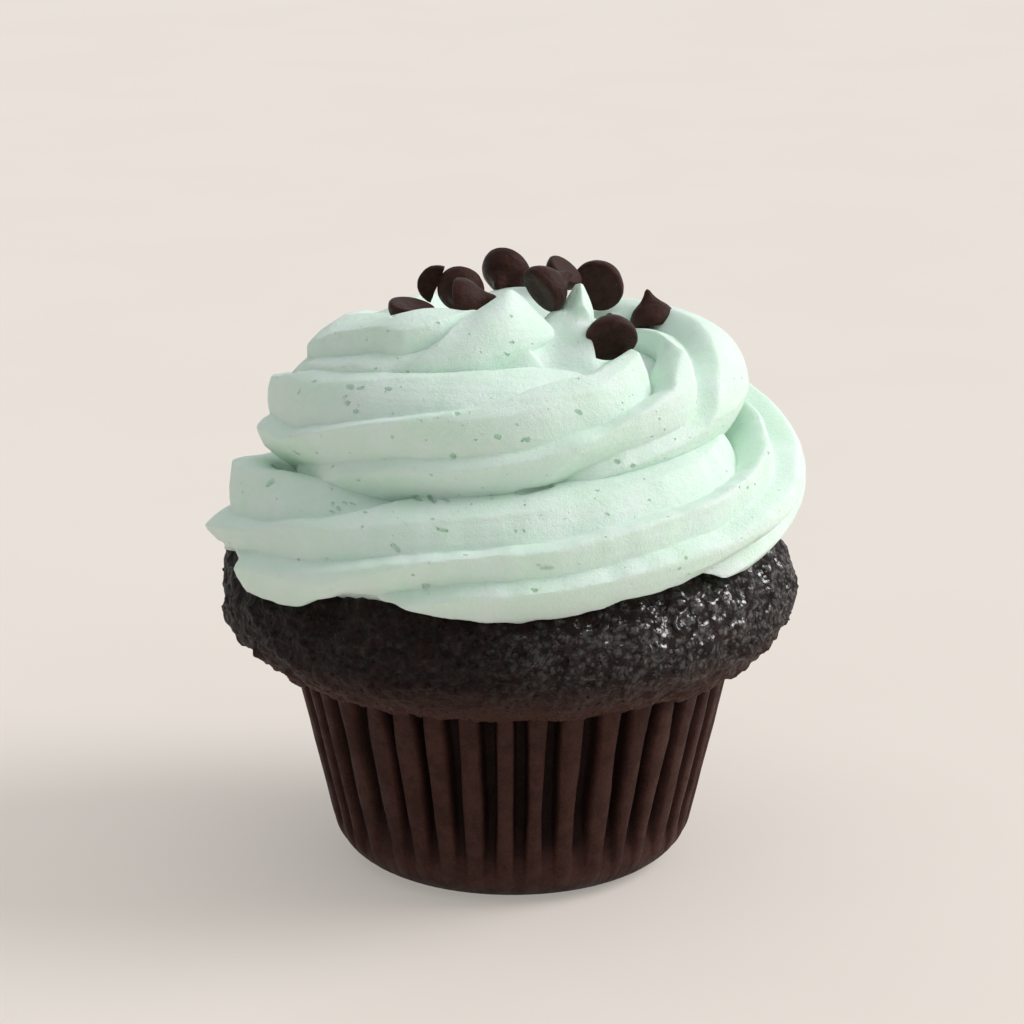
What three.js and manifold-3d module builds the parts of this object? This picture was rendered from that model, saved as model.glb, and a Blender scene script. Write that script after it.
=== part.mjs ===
// A chocolate cupcake in a pleated paper case, with a piped swirl of mint frosting and ten
// chocolate chips on top. Millimetres, +Z up. The origin is the centre of the flat base of the
// paper case. The front of the cupcake faces -Y, so +X is on the right of someone facing it.

import * as THREE from 'three';
import { mergeVertices } from 'three/addons/utils/BufferGeometryUtils.js';
import Module from 'manifold-3d';

const wasm = await Module();
wasm.setup();

const TURN = 2 * Math.PI;
const DEGREE = Math.PI / 180;

// Clearance between two pieces that touch.
const GAP = 0.3;

// Paper case: a flat foot, a rounded corner and a straight wall that leans out.
const FOOT_RADIUS = 19.35;
const CORNER_RADIUS = 7.9;
const WALL_LEAN = 13 * DEGREE;
const CASE_HEIGHT = 31.3;
const PAPER = 0.4;
const PLEATS = 40;
const PLEAT_DEPTH = 1.7;

// Cake: a body that fills the case and a domed top that has spread out over the rim.
const DOME_RADIUS = 42.3;
const DOME_LEAN = 0.8; // the dome has spread this much further to the left than to the right
const CAKE_SIDES = 64;
const CAKE_FLOOR = PAPER + GAP;
// [radius, height] from the rim of the case, out along the underside, over and in to the top.
const DOME_PROFILE = [
  [32.2, 31.8],
  [36.0, 32.7],
  [39.1, 34.7],
  [41.4, 37.4],
  [42.3, 40.4],
  [42.0, 43.6],
  [41.1, 46.2],
  [39.4, 48.4],
  [36.6, 50.3],
  [30.5, 52.6],
  [19.0, 55.0],
];
const DOME_TOP = 56.0;

// Frosting: one rope from a star nozzle, laid in a rising spiral that starts at the back. A turn
// of 0 is at the left of the cupcake, 0.25 at the front, 0.5 at the right and 0.75 at the back.
// Radius and height give the middle of the rope, width and tall the half sizes of its section.
const ROPE = [
  { turn: -0.3, radius: 32.0, height: 44.5, width: 9.0, tall: 8.0 },
  { turn: -0.15, radius: 32.8, height: 45.8, width: 11.4, tall: 10.0 },
  { turn: -0.05, radius: 33.0, height: 48.6, width: 12.2, tall: 12.2 },
  { turn: 0.0, radius: 33.0, height: 50.3, width: 13.0, tall: 13.4 },
  { turn: 0.1, radius: 32.5, height: 51.2, width: 12.6, tall: 12.0 },
  { turn: 0.17, radius: 32.0, height: 52.2, width: 12.5, tall: 10.4 },
  { turn: 0.25, radius: 31.5, height: 53.8, width: 12.4, tall: 10.4 },
  { turn: 0.375, radius: 31.3, height: 56.4, width: 12.3, tall: 10.8 },
  { turn: 0.5, radius: 31.2, height: 58.2, width: 12.2, tall: 11.3 },
  { turn: 0.75, radius: 30.0, height: 62.0, width: 11.5, tall: 10.8 },
  { turn: 1.0, radius: 27.2, height: 66.3, width: 10.5, tall: 10.1 },
  { turn: 1.25, radius: 24.8, height: 69.8, width: 10.4, tall: 9.8 },
  { turn: 1.5, radius: 23.8, height: 72.0, width: 10.6, tall: 9.3 },
  { turn: 1.75, radius: 21.6, height: 72.4, width: 10.2, tall: 7.6 },
  { turn: 1.92, radius: 20.2, height: 73.8, width: 10.2, tall: 7.6 },
  { turn: 2.0, radius: 20.0, height: 73.6, width: 11.0, tall: 7.3 },
  { turn: 2.06, radius: 19.6, height: 75.0, width: 10.8, tall: 7.9 },
  { turn: 2.12, radius: 17.8, height: 77.6, width: 9.6, tall: 7.8 },
  { turn: 2.19, radius: 14.8, height: 79.2, width: 8.8, tall: 5.9 },
  { turn: 2.24, radius: 12.5, height: 80.9, width: 8.0, tall: 7.6 },
  { turn: 2.27, radius: 11.1, height: 81.4, width: 7.2, tall: 4.2 },
  { turn: 2.3, radius: 9.8, height: 81.8, width: 6.0, tall: 2.4 },
  { turn: 2.34, radius: 8.8, height: 81.5, width: 1.5, tall: 1.0 },
];
// The creases between the ribs of the rope, which roll round it as the spiral rises. Above each
// crease a face of that many degrees leads down into it, and below it a short crest leads out.
// Rows are turn, angle round the section in degrees (0 is outward, 90 is up), depth as a share
// of the section, and the degrees that the crest takes.
const CREASES = [
  {
    face: 60,
    rows: [
      [-0.3, 60, 0.1, 20],
      [-0.12, 84, 0.26, 40],
      [0.0, 86, 0.36, 45],
      [0.08, 112, 0.3, 38],
      [0.2, 140, 0.2, 30],
    ],
  },
  {
    face: 34,
    rows: [
      [-0.27, -60, 0.2, 20],
      [-0.12, -20, 0.28, 25],
      [0.03, 22, 0.27, 24],
      [0.1, 44, 0.2, 16],
      [0.15, 70, 0.16, 15],
      [0.19, 105, 0.12, 15],
    ],
  },
  {
    face: 24,
    rows: [
      [-0.1, -60, 0.12, 15],
      [0.03, -8, 0.22, 15],
      [0.13, 15, 0.19, 15],
      [0.2, 32, 0.17, 15],
      [0.27, 36, 0.16, 15],
      [0.35, 42, 0.17, 15],
      [0.41, 51, 0.27, 15],
      [0.46, 78, 0.4, 18],
      [0.55, 120, 0.35, 30],
      [0.65, 150, 0.3, 30],
    ],
  },
  {
    face: 22,
    rows: [
      [0.14, -24, 0.06, 15],
      [0.19, -4, 0.18, 15],
      [0.28, 2, 0.17, 15],
      [0.37, 13, 0.17, 15],
      [0.44, 26, 0.22, 15],
      [0.51, 60, 0.28, 15],
      [0.6, 100, 0.3, 30],
      [0.7, 130, 0.3, 30],
    ],
  },
  {
    face: 24,
    rows: [
      [0.33, -40, 0.06, 15],
      [0.42, -24, 0.18, 15],
      [0.5, 5, 0.2, 15],
      [0.6, 50, 0.24, 15],
      [0.75, 88, 0.24, 15],
      [0.9, 125, 0.22, 20],
    ],
  },
  {
    face: 50,
    rows: [
      [0.5, -60, 0.1, 15],
      [0.6, -25, 0.15, 15],
      [0.75, 8, 0.2, 15],
      [0.97, 42, 0.22, 15],
      [1.08, 89, 0.18, 15],
      [1.16, 118, 0.12, 15],
      [1.3, 150, 0.1, 15],
    ],
  },
  {
    face: 40,
    rows: [
      [0.75, -60, 0.1, 15],
      [0.9, -28, 0.18, 15],
      [1.05, 13, 0.19, 15],
      [1.14, 32, 0.17, 15],
      [1.23, 50, 0.15, 15],
      [1.3, 84, 0.25, 20],
      [1.35, 111, 0.28, 28],
      [1.45, 140, 0.25, 15],
    ],
  },
  {
    face: 32,
    rows: [
      [0.93, -78, 0.08, 15],
      [1.05, -38, 0.2, 15],
      [1.15, -8, 0.2, 15],
      [1.26, 5, 0.18, 15],
      [1.34, 34, 0.27, 15],
      [1.37, 49, 0.36, 15],
      [1.41, 102, 0.5, 36],
      [1.51, 134, 0.45, 33],
      [1.6, 150, 0.3, 30],
    ],
  },
  {
    face: 34,
    rows: [
      [1.25, -66, 0.08, 15],
      [1.3, -29, 0.18, 15],
      [1.38, -3, 0.19, 15],
      [1.42, 43, 0.28, 16],
      [1.51, 94, 0.3, 20],
      [1.6, 125, 0.25, 20],
    ],
  },
  {
    face: 40,
    rows: [
      [1.45, -60, 0.1, 15],
      [1.52, -25, 0.17, 15],
      [1.62, 30, 0.22, 15],
      [1.75, 75, 0.22, 16],
      [1.9, 120, 0.2, 20],
    ],
  },
  {
    face: 40,
    rows: [
      [1.6, -60, 0.1, 15],
      [1.7, -25, 0.17, 15],
      [1.8, 15, 0.22, 15],
      [1.9, 55, 0.2, 16],
      [1.97, 80, 0.1, 20],
    ],
  },
  {
    face: 26,
    rows: [
      [1.96, -20, 0.1, 15],
      [2.04, 28, 0.28, 15],
      [2.14, 21, 0.28, 15],
      [2.19, 95, 0.32, 18],
      [2.25, 130, 0.2, 16],
    ],
  },
];
const CREASE_FADE = 0.03; // turns over which a crease starts and ends
// The angle round the section at which the frosting ends on the cake.
const HEM = [
  { turn: -0.3, angle: -60 },
  { turn: -0.15, angle: -30 },
  { turn: -0.02, angle: -14 },
  { turn: 0.07, angle: 0 },
  { turn: 0.09, angle: -20 },
  { turn: 0.12, angle: -22 },
  { turn: 0.16, angle: -6 },
  { turn: 0.25, angle: -32 },
  { turn: 0.32, angle: -22 },
  { turn: 0.42, angle: -47 },
  { turn: 0.5, angle: -70 },
  { turn: 0.6, angle: -120 },
  { turn: 2.34, angle: -120 },
];
const HEM_TUCK = 0.35; // how much of the section is left out below the hem
const UNDERSIDE = 0.2; // how much narrower the rope is below, where it has settled
const FROSTING_DETAIL = 0.3; // facets stay this close to the curved skin
const ROPE_SIDES = 54;
const RING_STEP = 1 / 44; // turns from one section to the next
const ROPE_BREAKS = [-0.27, 0.52, 1.48, 2.34]; // turns where one length ends in the next

// Frosting in the middle of the spiral, under the rope and the chips: [radius, height].
const MOUND = [
  [30.0, 46.0],
  [31.5, 52.0],
  [27.0, 61.0],
  [22.0, 67.0],
  [19.0, 70.5],
  [16.0, 74.6],
  [12.0, 79.3],
  [8.0, 82.4],
  [4.0, 84.1],
];
const MOUND_TOP = 84.6;
const MOUND_SHIFT = { x: 1.0, y: 5.0 }; // of the top of the mound from the middle of the cake

// The last of the frosting, pulled up to a point: where it runs and its half width.
const PEAK = [
  { x: -8.0, y: -16.0, z: 70.5, width: 5.5 },
  { x: -2.0, y: -16.5, z: 72.5, width: 7.2 },
  { x: 3.5, y: -14.5, z: 75.3, width: 7.4 },
  { x: 6.6, y: -11.6, z: 78.5, width: 6.2 },
  { x: 8.5, y: -8.8, z: 81.4, width: 4.7 },
  { x: 9.5, y: -7.0, z: 84.0, width: 3.1 },
  { x: 9.7, y: -5.4, z: 87.6, width: 0.7 },
];
const PEAK_RIDGE = 0.42; // how far its three faces are pressed in between its ridges
const PEAK_TURN = -65 * DEGREE; // where its first ridge runs
const PEAK_SIDES = 18;
const PEAK_RINGS = 18;

// A chocolate chip: [radius, height] of its outline from the edge of the flat base to the tip.
const CHIP_PROFILE = [
  [3.1, 0.0],
  [3.5, 0.5],
  [3.3, 1.5],
  [2.55, 2.6],
  [1.5, 3.5],
  [0.8, 4.4],
  [0.4, 5.1],
];
const CHIP_HEIGHT = 5.5;
const CHIP_SIDES = 12;
// Where the middle of each base is, which way its tip points, how far the tip has curled and
// the size, where 1 is the outline above. A half chip has broken along its axis.
const CHIPS = [
  { at: [-14.3, -1.5, 83.7], tip: [-0.2, 0.1, -0.97], size: 1.0 },
  { at: [-11.0, 6.5, 84.7], tip: [0.1, 0.99, 0.1], half: true, spin: 22, size: 0.84 },
  { at: [-7.4, 6.5, 84.6], tip: [-0.15, -0.95, -0.25], size: 1.0 },
  { at: [-7.7, -7.6, 85.2], tip: [0.97, -0.15, 0.18], size: 1.06 },
  { at: [-0.6, 11.5, 86.2], tip: [-0.36, -0.88, -0.29], curl: 0.4, size: 1.06 },
  { at: [8.0, 4.6, 87.6], tip: [-0.6, 0.25, -0.75], size: 0.86 },
  { at: [3.9, -7.0, 86.8], tip: [0.72, 0.5, 0.45], curl: 0.8, size: 1.06 },
  { at: [12.5, 9.8, 83.7], tip: [0.3, 0.92, 0.2], size: 1.12 },
  { at: [14.0, -14.5, 81.2], tip: [-0.12, 0.85, 0.5], curl: 0.5, size: 1.08 },
  { at: [21.2, 8.0, 78.8], tip: [-0.2, 0.1, 0.97], size: 1.02 },
];

const paper = new THREE.MeshStandardMaterial({ color: 0x3a2624, roughness: 0.75, metalness: 0 });
const crumb = new THREE.MeshStandardMaterial({ color: 0x1d1412, roughness: 0.5, metalness: 0 });
const cream = new THREE.MeshStandardMaterial({ color: 0xc8e1cd, roughness: 0.55, metalness: 0 });
const chocolate = new THREE.MeshStandardMaterial({ color: 0x3c2826, roughness: 0.45, metalness: 0 });

// Skins a row of rings, each with the same number of points, and closes both ends with a fan.
function skin(rings, startPole, endPole) {
  const sides = rings[0].length;
  const points = [...rings.flat(), startPole, endPole];
  const start = rings.length * sides;
  const last = start - sides;
  const faces = [];
  for (let side = 0; side < sides; side++) {
    const next = (side + 1) % sides;
    faces.push(start, next, side);
    faces.push(start + 1, last + side, last + next);
    for (let low = 0; low < last; low += sides) {
      const high = low + sides;
      faces.push(low + side, low + next, high + side);
      faces.push(low + next, high + next, high + side);
    }
  }
  const geometry = new THREE.BufferGeometry().setFromPoints(points);
  geometry.setIndex(faces);
  return geometry;
}

function ringMiddle(ring) {
  const middle = new THREE.Vector3();
  for (const point of ring) middle.add(point);
  return middle.divideScalar(ring.length);
}

function solidOf(geometry) {
  const merged = mergeVertices(geometry, 1e-4);
  return new wasm.Manifold(new wasm.Mesh({
    numProp: 3,
    vertProperties: new Float32Array(merged.attributes.position.array),
    triVerts: new Uint32Array(merged.index.array),
  }));
}

function geometryOf(solid) {
  const { vertProperties, triVerts } = solid.getMesh();
  const geometry = new THREE.BufferGeometry();
  geometry.setAttribute('position', new THREE.BufferAttribute(vertProperties, 3));
  geometry.setIndex(new THREE.BufferAttribute(triVerts, 1));
  return geometry;
}

// The largest separate piece of a solid, without loose shavings and sealed bubbles.
function mainPiece(solid) {
  return solid.decompose().reduce((best, piece) => (piece.volume() > best.volume() ? piece : best));
}

// A smooth curve through the rows of a table that never overshoots them.
function along(table, key, turn) {
  const count = table.length;
  const slopes = [];
  for (let row = 0; row < count - 1; row++) {
    slopes.push((table[row + 1][key] - table[row][key]) / (table[row + 1].turn - table[row].turn));
  }
  const tangent = (row) => {
    if (row === 0) return slopes[0];
    if (row === count - 1) return slopes[count - 2];
    const before = slopes[row - 1];
    const after = slopes[row];
    if (before * after <= 0) return 0;
    const spanBefore = table[row].turn - table[row - 1].turn;
    const spanAfter = table[row + 1].turn - table[row].turn;
    const weightBefore = 2 * spanAfter + spanBefore;
    const weightAfter = spanAfter + 2 * spanBefore;
    return (weightBefore + weightAfter) / (weightBefore / before + weightAfter / after);
  };
  let row = 0;
  while (row < count - 2 && table[row + 1].turn < turn) row++;
  const span = table[row + 1].turn - table[row].turn;
  const s = (turn - table[row].turn) / span;
  const rise = s * s * (3 - 2 * s);
  return table[row][key] * (1 - rise) + table[row + 1][key] * rise
    + span * (s * (1 - s) * (1 - s) * tangent(row) - s * s * (1 - s) * tangent(row + 1));
}

// ---- Paper case ----

function wallRadius(height) {
  const cornerTop = CORNER_RADIUS * (1 - Math.sin(WALL_LEAN));
  if (height < cornerTop) {
    const drop = CORNER_RADIUS - height;
    return FOOT_RADIUS + Math.sqrt(CORNER_RADIUS ** 2 - drop ** 2);
  }
  const cornerEdge = FOOT_RADIUS + CORNER_RADIUS * Math.cos(WALL_LEAN);
  return cornerEdge + (height - cornerTop) * Math.tan(WALL_LEAN);
}

// Three points to a pleat: the two edges of its flat ridge and the bottom of its valley.
function caseRing(height, inset) {
  const fade = THREE.MathUtils.smoothstep(height, 1.5, 16);
  const ring = [];
  for (let pleat = 0; pleat < PLEATS; pleat++) {
    for (const [part, depth] of [[0.0, 0], [0.46, 0], [0.73, PLEAT_DEPTH]]) {
      const angle = ((pleat + part) / PLEATS) * TURN;
      const radius = wallRadius(height) - inset - depth * fade;
      ring.push(new THREE.Vector3(radius * Math.cos(angle), radius * Math.sin(angle), height));
    }
  }
  return ring;
}

function caseGeometry() {
  const heights = [0, 0.9, 3.0, 7.0, 16.0, CASE_HEIGHT];
  const outside = heights.map((height) => caseRing(height, 0));
  const inside = heights.map((height, row) => {
    const ring = caseRing(height, PAPER);
    if (row < 3) for (const point of ring) point.z += PAPER;
    return ring;
  });
  return skin(
    [...outside, ...inside.reverse()],
    new THREE.Vector3(0, 0, 0),
    new THREE.Vector3(0, 0, PAPER),
  );
}

// ---- Cake ----

// Low swells of the dome, which has not risen evenly.
function swell(angle, height) {
  return 0.32 * Math.sin(3 * angle + 0.9) + 0.2 * Math.sin(5 * angle + 0.35 * height)
    + 0.14 * Math.sin(11 * angle - 0.5 * height + 2) - DOME_LEAN * Math.cos(angle);
}

// The cake's skin, moved out by a margin.
function cakeGeometry(margin) {
  const bodyInset = PLEAT_DEPTH + PAPER + GAP;
  const body = [CAKE_FLOOR, 2.4, 5.5, CASE_HEIGHT + GAP].map((height) => {
    const clear = Math.max(height - PAPER, 0);
    return { radius: wallRadius(clear) - bodyInset, height, rough: 0 };
  });
  const dome = DOME_PROFILE.map(([radius, height], row) => {
    const [r0, z0] = DOME_PROFILE[Math.max(row - 1, 0)];
    const [r1, z1] = DOME_PROFILE[Math.min(row + 1, DOME_PROFILE.length - 1)];
    const length = Math.hypot(r1 - r0, z1 - z0);
    return {
      radius: radius + (margin * (z1 - z0)) / length,
      height: height - (margin * (r1 - r0)) / length,
      rough: Math.min(row / 3, 1) * (radius / DOME_RADIUS) ** 2,
    };
  });
  const rings = [...body, ...dome].map(({ radius, height, rough }) => {
    const ring = [];
    for (let side = 0; side < CAKE_SIDES; side++) {
      const angle = (side / CAKE_SIDES) * TURN;
      const reach = radius + rough * swell(angle, height);
      ring.push(new THREE.Vector3(reach * Math.cos(angle), reach * Math.sin(angle), height));
    }
    return ring;
  });
  return skin(
    rings,
    new THREE.Vector3(0, 0, CAKE_FLOOR),
    new THREE.Vector3(0, 0, DOME_TOP + margin),
  );
}

// ---- Frosting ----

// The share of the section that the creases take away at a place on the rope.
function creaseCut(turn, angle) {
  let cut = 0;
  for (const { face, rows } of CREASES) {
    const first = rows[0][0];
    const last = rows[rows.length - 1][0];
    if (turn < first || turn > last) continue;
    const track = rows.map((row) => ({ turn: row[0], angle: row[1], depth: row[2], crest: row[3] }));
    const starts = THREE.MathUtils.smoothstep(turn, first, first + CREASE_FADE);
    const ends = THREE.MathUtils.smoothstep(turn, last - CREASE_FADE, last);
    const away = THREE.MathUtils.euclideanModulo(angle - along(track, 'angle', turn) + 180, 360) - 180;
    const share = away > 0
      ? Math.max(1 - away / face, 0) ** 0.8
      : Math.max(1 + away / along(track, 'crest', turn), 0) ** 1.15;
    cut = Math.max(cut, along(track, 'depth', turn) * starts * (1 - ends) * share);
  }
  return cut;
}

function ropeSection(turn, scale = 1) {
  const radius = along(ROPE, 'radius', turn);
  const height = along(ROPE, 'height', turn);
  const width = along(ROPE, 'width', turn) * scale;
  const tall = along(ROPE, 'tall', turn) * scale;
  const hem = along(HEM, 'angle', turn);
  const bearing = turn * TURN;
  const ring = [];
  for (let side = 0; side < ROPE_SIDES; side++) {
    const place = 240 - (side / ROPE_SIDES) * 360;
    const angle = place * DEGREE;
    const tucked = HEM_TUCK * THREE.MathUtils.smoothstep(hem - place, 0, 9);
    const size = (1 - creaseCut(turn, place)) * (1 - tucked);
    const settled = 1 + UNDERSIDE * Math.min(Math.sin(angle), 0);
    const reach = radius + width * settled * size * Math.cos(angle);
    ring.push(new THREE.Vector3(
      -reach * Math.cos(bearing),
      -reach * Math.sin(bearing),
      height + tall * size * Math.sin(angle),
    ));
  }
  return ring;
}

// A length of the rope. Its start is tucked a little way into the length before it.
function ropeLength(from, to) {
  const steps = Math.ceil((to - from) / RING_STEP);
  const rings = [ropeSection(from - 0.03, 0.8), ropeSection(from - 0.015, 0.9)];
  for (let step = 0; step <= steps; step++) {
    rings.push(ropeSection(from + ((to - from) * step) / steps));
  }
  return skin(rings, ringMiddle(rings[0]), ringMiddle(rings[rings.length - 1]));
}

function moundGeometry() {
  const rings = MOUND.map(([radius, height]) => {
    const shift = THREE.MathUtils.smoothstep(height, 60, 78);
    const ring = [];
    for (let side = 0; side < 36; side++) {
      const angle = (side / 36) * TURN;
      ring.push(new THREE.Vector3(
        MOUND_SHIFT.x * shift + radius * Math.cos(angle),
        MOUND_SHIFT.y * shift + radius * Math.sin(angle),
        height,
      ));
    }
    return ring;
  });
  const top = new THREE.Vector3(MOUND_SHIFT.x, MOUND_SHIFT.y, MOUND_TOP);
  return skin(rings, new THREE.Vector3(0, 0, MOUND[0][1]), top);
}

function peakGeometry() {
  const path = new THREE.CatmullRomCurve3(PEAK.map(({ x, y, z }) => new THREE.Vector3(x, y, z)));
  const widths = new THREE.CatmullRomCurve3(PEAK.map(({ width }) => new THREE.Vector3(width)));
  const rings = [];
  for (let row = 0; row <= PEAK_RINGS; row++) {
    const s = row / PEAK_RINGS;
    const middle = path.getPoint(s);
    const forward = path.getTangent(s);
    const side = new THREE.Vector3(0.2, 0.9, 0.35).cross(forward).normalize();
    const up = forward.clone().cross(side);
    const ring = [];
    for (let step = 0; step < PEAK_SIDES; step++) {
      const angle = (step / PEAK_SIDES) * TURN;
      const pressed = PEAK_RIDGE * Math.abs(Math.sin(1.5 * (angle - PEAK_TURN)));
      const reach = widths.getPoint(s).x * (1 - pressed);
      ring.push(middle.clone()
        .addScaledVector(side, reach * Math.cos(angle))
        .addScaledVector(up, reach * Math.sin(angle)));
    }
    rings.push(ring);
  }
  return skin(rings, path.getPoint(0), path.getPoint(1));
}

// ---- Chocolate chips ----

// A chip standing on its base, with its tip curled towards +X and its skin moved out by a margin.
function chipGeometry({ curl = 0, size }, margin) {
  const rings = CHIP_PROFILE.map(([radius, height], row) => {
    const ring = [];
    const reach = radius * size + margin;
    const bend = curl * (height / CHIP_HEIGHT) ** 2;
    const level = row === 0 ? -margin : height * size;
    for (let side = 0; side < CHIP_SIDES; side++) {
      const angle = (side / CHIP_SIDES) * TURN;
      ring.push(new THREE.Vector3(
        bend + reach * Math.cos(angle),
        reach * Math.sin(angle),
        level,
      ));
    }
    return ring;
  });
  return skin(
    rings,
    new THREE.Vector3(0, 0, -margin),
    new THREE.Vector3(curl, 0, CHIP_HEIGHT * size + margin),
  );
}

// Lays a chip down where it belongs: its axis along tip, and its +X as near the right as it goes.
function chipPlacement({ at, tip, spin = 0 }) {
  const axis = new THREE.Vector3(...tip).normalize();
  const side = new THREE.Vector3(1, 0, 0).addScaledVector(axis, -axis.x).normalize();
  side.applyAxisAngle(axis, spin * DEGREE);
  const third = axis.clone().cross(side);
  return new THREE.Matrix4().makeBasis(side, third, axis).setPosition(...at);
}

function chipSolid(chip, margin) {
  let solid = solidOf(chipGeometry(chip, margin));
  if (chip.half) {
    const slab = new THREE.BoxGeometry(10, 20, 20).translate(margin - 5, 0, 0);
    slab.deleteAttribute('normal');
    slab.deleteAttribute('uv');
    solid = solid.intersect(solidOf(slab));
  }
  return solidOf(geometryOf(solid).applyMatrix4(chipPlacement(chip)));
}

function frostingSolid() {
  let solid = solidOf(moundGeometry()).add(solidOf(peakGeometry()));
  for (let part = 1; part < ROPE_BREAKS.length; part++) {
    solid = solid.add(solidOf(ropeLength(ROPE_BREAKS[part - 1], ROPE_BREAKS[part])));
  }
  solid = solid.simplify(FROSTING_DETAIL).subtract(solidOf(cakeGeometry(GAP + 0.05)));
  for (const chip of CHIPS) solid = solid.subtract(chipSolid(chip, GAP));
  return mainPiece(solid).simplify(0.02);
}

const cupcake = new THREE.Group();

function addPiece(name, geometry, material) {
  const mesh = new THREE.Mesh(geometry, material);
  mesh.name = name;
  cupcake.add(mesh);
}

addPiece('paper_case', caseGeometry(), paper);
addPiece('cake', cakeGeometry(0), crumb);
addPiece('frosting', geometryOf(frostingSolid()), cream);
CHIPS.forEach((chip, index) => {
  const name = `chip_${String(index + 1).padStart(2, '0')}`;
  addPiece(name, geometryOf(chipSolid(chip, 0)), chocolate);
});

export default cupcake;
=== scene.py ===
"""The looks of a chocolate cupcake: paper case, cake, piped mint frosting and chocolate chips.

Shapes are worked out in millimetres and turned into metres when their mesh is made. The cupcake
stands on z = 0 round the upright axis, and its front looks towards -y.
"""

import math

import bpy
import numpy as np
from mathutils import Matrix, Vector
from mathutils.bvhtree import BVHTree


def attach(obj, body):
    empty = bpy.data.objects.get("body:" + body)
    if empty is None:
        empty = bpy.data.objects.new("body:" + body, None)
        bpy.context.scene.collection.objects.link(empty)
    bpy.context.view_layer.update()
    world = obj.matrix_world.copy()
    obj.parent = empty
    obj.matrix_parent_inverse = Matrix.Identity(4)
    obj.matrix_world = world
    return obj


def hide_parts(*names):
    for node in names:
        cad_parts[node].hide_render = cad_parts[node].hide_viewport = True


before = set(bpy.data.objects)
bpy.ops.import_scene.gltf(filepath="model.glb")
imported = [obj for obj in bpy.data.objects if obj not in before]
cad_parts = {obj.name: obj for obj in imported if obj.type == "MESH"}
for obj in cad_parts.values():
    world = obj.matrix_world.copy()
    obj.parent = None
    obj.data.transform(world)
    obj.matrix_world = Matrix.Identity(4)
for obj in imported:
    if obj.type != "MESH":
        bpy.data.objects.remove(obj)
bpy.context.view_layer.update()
random = np.random.default_rng(11)

MM = 0.001
PER_METRE = 1000

# ---- Camera ----

CAMERA_PLACE = (0.0, -485.0, 193.0)
# How far it looks down.
CAMERA_PITCH = math.radians(16.2)
SENSOR_WIDTH = 36
FRAME_SIZE = 1024
# The focal length, in widths of the frame.
CAMERA_FOCAL = 3428 / FRAME_SIZE

# ---- Paper case ----

FOOT_RADIUS = 19.35
CORNER_RADIUS = 7.9
WALL_LEAN = math.radians(13)
# Where the straight wall would meet the floor, were it to go on below the corner.
WALL_AT_FLOOR = 25.64
CASE_TOP = 31.9
PAPER = 0.14
# Directions of the pleats on the back, in degrees from +x towards +y.
BACK_PLEATS = [27, 41, 50, 58, 67, 75, 84, 92, 100, 109, 118, 127, 136, 143, 149]
# The other pleats go evenly round the front, each with a small shift in degrees.
FRONT_PLEATS = 25
PLEAT_SHIFT = 1.4
# A pleat's least and most: the share of its pitch that the ridge takes, its depth, how many degrees
# it drifts towards the foot, and the height where it starts.
RIDGE_SHARE = (0.54, 0.68)
PLEAT_DEPTH = (2.8, 3.5)
PLEAT_DRIFT = (-1.0, 1.0)
PLEAT_START = (0.5, 2.5)
# The height where a pleat has its full depth.
PLEAT_FULL = 17
PLEAT_STEPS = 26
# How the ridges grow wider and narrower on their way up: by what share, over what height.
RIDGE_CHANGE = (0.24, 8)
# A fold's side starts at this share of the ridge's edge and ends this far beyond it.
FOLD_START = 0.92
FOLD_SPAN = 0.1
# How far the edges of a ridge lie behind its middle.
RIDGE_CROWN = 0.34
CRINKLE_DEPTH = 0.09
CRINKLE_SIZE = 3.5
CRINKLE_RADIUS = 30
CORNER_HEIGHTS = [0.0, 0.03, 0.15, 0.4, 0.8, 1.3]
WALL_ROWS = 50

# ---- Cake ----

DOME_RADIUS = 42.3
# How far the dome stands over towards -x.
DOME_LEAN = 0.8
# radius, height
BODY_PROFILE = np.array([
    [3.0, 0.7],
    [13.0, 0.7],
    [19.5, 2.4],
    [22.8, 7.0],
    [28.2, 30.4],
    [30.6, 31.0],
])
DOME_PROFILE = np.array([
    [32.0, 31.2],
    [33.4, 31.3],
    [36.0, 32.7],
    [39.1, 34.7],
    [41.4, 37.4],
    [42.3, 40.4],
    [42.0, 43.6],
    [41.1, 46.2],
    [39.4, 48.4],
    [36.6, 50.3],
    [30.5, 52.6],
    [19.0, 55.0],
    [0.0, 56.0],
])
# The row of the profile from which the frosting covers the cake, and how far apart the rings are
# before it and after it.
COVERED_ROW = 10
SHOWN_STEP = 0.32
COVERED_STEP = 2.5
CAKE_SIDES = 820
# The height of the dome's lower edge, and how far above it the crumb reaches its full relief.
EDGE_HEIGHT = 31.2
EDGE_FADE = 1.6
# The crumb's relief: depth and size of each kind of unevenness.
CRUMB_SWELLS = (0.34, 6.5)
CRUMB_LUMPS = (0.46, 2.8)
CRUMB_GRAINS = (0.27, 1.3)
CRUMB_SPECKS = (0.17, 0.65)
# Its pores: depth, spacing and the share of the places that have one.
WIDE_PORES = (0.5, 2.6, 0.25)
FINE_PORES = (0.38, 1.25, 0.42)
# Raised veins of crust: their size, where they start and how steeply they rise.
VEIN_SIZE = 3.6
VEIN_START = 0.7
VEIN_RISE = 1.2
# How the lower edge hangs down here and there: depth and size.
EDGE_DROPS = (0.55, 3.4)
EDGE_CRUMBS = (0.35, 1.0)
# A sunken spot: its middle, its reach along x, y and z, and its depth.
CRATER_PLACE = np.array([-26.2, -31.5, 46.2])
CRATER_REACH = np.array([3.2, 3.2, 1.7])
CRATER_DEPTH = 1.5

# ---- Frosting: one rope in a rising spiral, with creases that roll round it ----

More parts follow.
